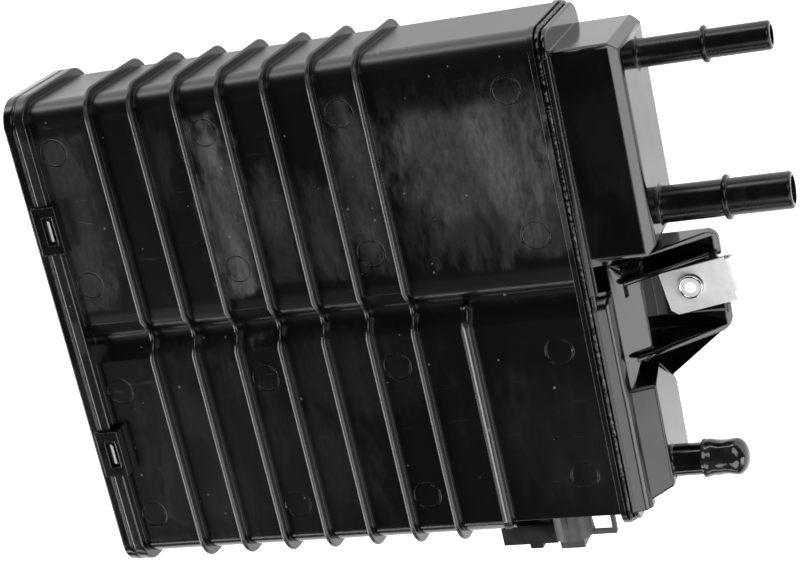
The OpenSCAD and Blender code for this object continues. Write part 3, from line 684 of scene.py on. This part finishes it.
def skinMesh(piece, rows, ring=False, capped=True, flip=False):
    side = len(rows[0])
    faces = []
    for i in range(len(rows) if ring else len(rows) - 1):
        for k in range(side):
            j, m = (i + 1) % len(rows), (k + 1) % side
            a, b, c, d = i * side + k, i * side + m, j * side + m, j * side + k
            faces.append((a, d, c, b) if flip else (a, b, c, d))
    if capped and not ring:
        first = range(side)
        last = range((len(rows) - 1) * side, len(rows) * side)
        faces += [tuple(first), tuple(reversed(last))] if flip else [tuple(reversed(first)), tuple(last)]
    mesh = bpy.data.meshes.new(piece)
    mesh.from_pydata([Vector(point) * mm for row in rows for point in row], [], faces)
    return mesh


def turns(count):
    return [2 * math.pi * k / count for k in range(count)]


def ease(value, low, high):
    t = min(1.0, max(0.0, (value - low) / (high - low)))
    return t * t * (3 - 2 * t)


def between(first, last, t):
    return first + (last - first) * t


collarRing = {  # mm
    "radius": 4.7,
    "thick": 0.55,
    "sunk": 0.6,  # of its thickness
    "sides": 48,
    "round": 10,
    "smooth": 60,  # degrees
}


def makeCollarRing():
    s = collarRing
    midX, midY = collar["axis"]
    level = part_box("clip_nut")[1].z / mm
    rows = []
    for turn in turns(s["sides"]):
        row = []
        for around in turns(s["round"]):
            reach = s["radius"] + s["thick"] * math.cos(around)
            height = level + s["thick"] * (math.sin(around) - s["sunk"])
            row.append((midX + reach * math.cos(turn), midY + reach * math.sin(turn), height))
        rows.append(row)
    mesh = skinMesh("collarRing", rows, ring=True, flip=True)
    asPiece(mesh, "collarRing", looks["collarZinc"], smooth=s["smooth"])


seams = {  # bead middle in mm, half width and height, corner, thickness
    "weldSeam": {"middle": (80.3, 5.15, 34.5), "half": (110.3, 29.8), "corner": 8.6, "thick": 1.05},
    "rimSeam": {"middle": (-159.7, 5.15, 34.5), "half": (114.2, 33.7), "corner": 12.5, "thick": 0.5},
}
bead = {
    "rough": 0.4,  # large bumps, of its thickness
    "fine": 0.2,  # small bumps
    "scale": 0.9,  # large bumps per mm
    "fineScale": 2.7,  # times as many small ones
    "spread": 3.0,  # mm, sets the bumps apart around the bead
    "step": 0.55,  # mm
    "round": 8,
    "cornerSteps": 18,
}


def seamPath(s):
    halfY, halfZ = s["half"]
    r = s["corner"]
    path = []
    for turn, (y, z) in enumerate(((1, 1), (-1, 1), (-1, -1), (1, -1))):
        cornerY, cornerZ = (halfY - r) * y, (halfZ - r) * z
        for k in range(bead["cornerSteps"] + 1):
            angle = math.radians(turn * 90 + k * 90 / bead["cornerSteps"])
            path.append((cornerY + r * math.cos(angle), cornerZ + r * math.sin(angle), angle))
    full = []
    for k, (y, z, angle) in enumerate(path):
        nextY, nextZ, nextAngle = path[(k + 1) % len(path)]
        count = max(1, round(math.hypot(nextY - y, nextZ - z) / bead["step"]))
        turnBy = (nextAngle - angle + math.pi) % (2 * math.pi) - math.pi
        for i in range(count):
            t = i / count
            full.append((between(y, nextY, t), between(z, nextZ, t), angle + turnBy * t))
    return full


def makeSeam(piece):
    s = seams[piece]
    midX, midY, midZ = s["middle"]
    rows = []
    for y, z, angle in seamPath(s):
        row = []
        for around in turns(bead["round"]):
            spot = Vector((midX + math.cos(around) * bead["spread"], y, z)) * bead["scale"]
            bumps = bead["rough"] * noise.noise(spot)
            bumps += bead["fine"] * noise.noise(spot * bead["fineScale"])
            size = s["thick"] * (1 + bumps)
            out = size * math.cos(around)
            row.append((
                midX + size * math.sin(around),
                midY + y + out * math.cos(angle),
                midZ + z + out * math.sin(angle),
            ))
        rows.append(row)
    asPiece(skinMesh(piece, rows, ring=True), piece, headPlastic)


flangeBand = {  # rounded shoulder from the cover lip down to the head
    "lip": (81.9, 64.65),  # x, z in mm
    "brow": (86.9, 63.2),
    "shoulder": (89.0, 62.5),
    "low": (-99.0, 90.2, 59.35),  # y, then x and z of its foot
    "high": (0.6, 89.9, 58.25),
    "change": (-47.0, -42.0),  # y where the foot steps down
    "endRound": 5.0,
    "under": 4.0,
    "steps": 10,
    "stations": 60,
}


def makeFlangeBand():
    s = flangeBand
    lowY, lowX, lowZ = s["low"]
    highY, highX, highZ = s["high"]
    rows = []
    for k in range(s["stations"] + 1):
        y = between(lowY, highY, k / s["stations"])
        t = ease(y, *s["change"])
        footX, footZ = between(lowX, highX, t), between(lowZ, highZ, t)
        past = max(0.0, (y - (highY - s["endRound"])) / s["endRound"])
        rise = math.sqrt(max(0.0, 1 - past * past))
        curve = [s["lip"]]
        for i in range(s["steps"] + 1):
            u = i / s["steps"]
            ends = zip(s["brow"], s["shoulder"], (footX, footZ))
            curve.append(tuple((1 - u) ** 2 * a + 2 * u * (1 - u) * b + u * u * c for a, b, c in ends))
        row = [(x, y, footZ + (z - footZ) * rise) for x, z in curve]
        rows.append(row + [(x, y, footZ - s["under"]) for x in (footX, s["lip"][0])])
    asPiece(skinMesh("flangeBand", rows), "flangeBand", headPlastic)


lipStrip = {"y": (1.6, 105.0), "outline": [  # x, z in mm
    (81.6, 63.4), (81.6, 64.75), (81.85, 65.05), (82.3, 65.05), (83.7, 64.65), (84.0, 64.35), (84.0, 63.4),
]}


def makeLipStrip():
    rows = [[(x, y, z) for x, z in lipStrip["outline"]] for y in lipStrip["y"]]
    asPiece(skinMesh("lipStrip", rows, flip=True), "lipStrip", headPlastic)


armRoot = {  # fillet where the sloped panel runs up to the upper box, mm
    "start": (90.2, 58.08),  # x, z on the panel
    "end": (100.8, 49.4),
    "panelNormal": (0.633, 0.0, 0.774),
    "spread": (9.5, 4.0),  # y of its foot, first and last
    "top": 12.2,
    "tall": (0.4, 6.4),
    "grown": 0.45,  # share of its length
    "sink": 0.7,
    "stations": 24,
    "steps": 10,
    "smooth": 30,  # degrees
}


def makeArmRoot():
    s = armRoot
    away = Vector(s["panelNormal"])
    rows = []
    for k in range(s["stations"] + 1):
        t = k / s["stations"]
        x, z = (between(a, b, t) for a, b in zip(s["start"], s["end"]))
        grown = ease(t, 0.0, s["grown"])
        foot, tall = between(*s["spread"], grown), between(*s["tall"], grown)
        outline = []
        for i in range(s["steps"] + 1):
            turn = math.pi / 2 * i / s["steps"]
            outline.append((between(foot, s["top"], math.sin(turn)), tall * (1 - math.cos(turn))))
        outline += [(s["top"], -s["sink"]), (foot, -s["sink"])]
        rows.append([Vector((x, y, z)) + away * height for y, height in outline])
    mesh = skinMesh("armRoot", rows, flip=True)
    asPiece(mesh, "armRoot", headPlastic, smooth=s["smooth"])


lipShadeSheet = {  # dark sheet behind the weld lip, painted shade, mm
    "x": (84.4, 89.5),
    "y": (1.4, 13.0),
    "level": (88.9, 58.86),  # x and z of a point on it
    "fall": 0.345,  # z lost for each mm of x
    "sink": 0.6,
}


def makeLipShadeSheet():
    s = lipShadeSheet
    (lowX, highX), (lowY, highY) = s["x"], s["y"]
    levelX, levelZ = s["level"]
    corners = ((lowX, lowY), (highX, lowY), (highX, highY), (lowX, highY))
    rows = []
    for sink in (0.0, s["sink"]):
        rows.append([(x, y, levelZ - (x - levelX) * s["fall"] - sink) for x, y in corners])
    # painted shade: a dark matte sheet in the shaded notch
    asPiece(skinMesh("lipShadeSheet", rows, flip=True), "lipShadeSheet", looks["armShadeMatte"])


softCap = {  # mm
    "sides": 56,
    "rings": 44,
    "inset": 0.3,  # of the body below the lip
    "wall": 0.9,
    "grip": 14.2,  # depth of the bore
    "mouth": 0.4,
    "lip": [(0.0, -0.9), (0.35, -0.2), (1.0, 0.0), (1.7, -0.25)],  # x, step from the widest
    "bodyStart": 2.1,
    "domeShare": 0.72,  # of the body's radius
    "domeSteps": 14,
    "domeTurn": 6.2,  # degrees a step
    "domePower": 0.8,
    "lump": 0.75,
    "lumpAlong": 0.16,
    "lumpAround": 1.15,
    "lumpSunk": 0.35,
    "lumpFrom": (1.5, 3.0),  # x where lumps start, and how far they grow
    "lumpMost": 0.1,
    "outer": 1.001,  # bore radii, beyond this is the outside
    "tip": 0.3,  # bore radii, the dome's tip stays smooth
}


def capOutline(long, wide):
    s = softCap
    body = wide - s["inset"]
    inner = body - s["wall"]
    dome = body * s["domeShare"]
    loop = [(s["grip"], 0.0), (s["grip"], inner), (s["mouth"], inner)]
    loop += [(x, wide + step) for x, step in s["lip"]]
    for k in range(s["rings"]):
        loop.append((between(s["bodyStart"], long - dome, k / (s["rings"] - 1)), body))
    for k in range(1, s["domeSteps"] + 1):
        angle = math.radians(k * s["domeTurn"])
        loop.append((long - dome + dome * math.sin(angle), body * math.cos(angle) ** s["domePower"]))
    return loop + [(long, 0.0)], inner


def makeSoftCap():
    s = softCap
    low, high = (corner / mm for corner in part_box("port_cap"))
    middleY, middleZ = (low.y + high.y) / 2, (low.z + high.z) / 2
    loop, inner = capOutline(high.x - low.x, (high.y - low.y) / 2)
    start, grow = s["lumpFrom"]
    rows = []
    for x, r in loop:
        outside = r > inner * s["outer"] or x > s["grip"]
        lumpy = outside and r > inner * s["tip"]
        grown = min(1.0, max(0.0, (x - start) / grow)) if lumpy else 0.0
        row = []
        for around in turns(s["sides"]):
            across = Vector((0, math.cos(around), math.sin(around)))
            spot = across * s["lumpAround"] + Vector((x * s["lumpAlong"], 0, 0))
            dent = s["lump"] * grown * (noise.noise(spot) - s["lumpSunk"])
            size = max(0.0, r + min(dent, s["lumpMost"]))
            row.append(across * size + Vector((low.x + x, middleY, middleZ)))
        rows.append(row)
    mesh = skinMesh("softCap", rows, capped=False)
    shell = bmesh.new()
    shell.from_mesh(mesh)
    bmesh.ops.remove_doubles(shell, verts=shell.verts, dist=rounding["join"])
    bmesh.ops.recalc_face_normals(shell, faces=shell.faces)
    shell.to_mesh(mesh)
    shell.free()
    asPiece(mesh, "softCap", looks["capVinyl"], "port_cap")


makeCollarRing()
for piece in seams:
    makeSeam(piece)
makeFlangeBand()
makeLipStrip()
makeArmRoot()
makeLipShadeSheet()
makeSoftCap()
print("seams, band and cap added")

for row in frame["record"]["subparts"]:
    look = innerLooks.get(row["material_slot"])
    if look:
        nodes[row["node"]].material_slots[0].material = look
nodes["valve_seal"].material_slots[0].material = looks["capVinyl"]
print("inner pieces dressed")

# Studio

studio = {
    "floor": 6.0,  # m
    "floorWhite": 0.82,
    "floorGlow": 0.95,
    "air": 0.05,
    "aim": (0, 0, 0.03),
    "lamps": [  # name, place, width, height, radiance
        ("overRight", (0.36, -0.775, 1.355), 0.94, 0.66, 3.9),
        ("rightBox", (1.42, -0.58, 0.6), 0.9, 0.85, 5.5),
        ("topBack", (0.75, 0.95, 1.2), 0.8, 0.8, 4.0),
        ("backStrip", (-0.45, 1.6, 0.2), 2.2, 0.48, 5.0),
        ("frontStrip", (-0.45, -1.45, 0.62), 1.6, 0.16, 5.0),
        ("leftBox", (-1.15, -0.45, 0.62), 0.9, 0.75, 8.5),
    ],
}


def addFloor():
    half = studio["floor"] / 2
    mesh = bpy.data.meshes.new("floor")
    corners = [(-half, -half, 0), (half, -half, 0), (half, half, 0), (-half, half, 0)]
    mesh.from_pydata(corners, [], [(0, 1, 2, 3)])
    floor = bpy.data.objects.new("floor", mesh)
    bpy.context.collection.objects.link(floor)
    material = bpy.data.materials.new("studioFloor")
    material.use_nodes = True
    sheet = Sheet(material.node_tree)
    sheet.tree.nodes.clear()
    path = sheet.add("ShaderNodeLightPath").outputs
    seen = sheet.math("MAXIMUM", path["Is Camera Ray"], path["Is Glossy Ray"])
    seen = sheet.math("MAXIMUM", seen, path["Is Transmission Ray"])
    glow = sheet.add("ShaderNodeEmission", {"Strength": sheet.times(seen, studio["floorGlow"])})
    matte = sheet.add("ShaderNodeBsdfDiffuse", {"Color": grey(studio["floorWhite"])})
    both = sheet.add("ShaderNodeAddShader", {0: matte.outputs[0], 1: glow.outputs[0]})
    sheet.add("ShaderNodeOutputMaterial", {"Surface": both.outputs[0]})
    mesh.materials.append(material)


def addLamp(name, place, width, height, radiance):
    data = bpy.data.lights.new(name, "AREA")
    data.shape = "RECTANGLE"
    data.size = width
    data.size_y = height
    data.energy = radiance * math.pi * width * height
    lamp = bpy.data.objects.new(name, data)
    lamp.location = place
    toPart = Vector(studio["aim"]) - Vector(place)
    lamp.rotation_euler = toPart.to_track_quat("-Z", "Y").to_euler()
    bpy.context.collection.objects.link(lamp)


def addWorld():
    world = bpy.data.worlds.new("studioAir")
    bpy.context.scene.world = world
    world.use_nodes = True
    sheet = Sheet(world.node_tree)
    path = sheet.add("ShaderNodeLightPath").outputs
    back = world.node_tree.nodes["Background"].inputs
    back["Color"].default_value = (1, 1, 1, 1)
    sheet.feed(back["Strength"], sheet.ramp(path["Is Camera Ray"], 0.0, 1.0, studio["air"], 1.0))


addFloor()
for lamp in studio["lamps"]:
    addLamp(*lamp)
addWorld()
bpy.context.scene.view_settings.view_transform = "Standard"
print("studio ready")
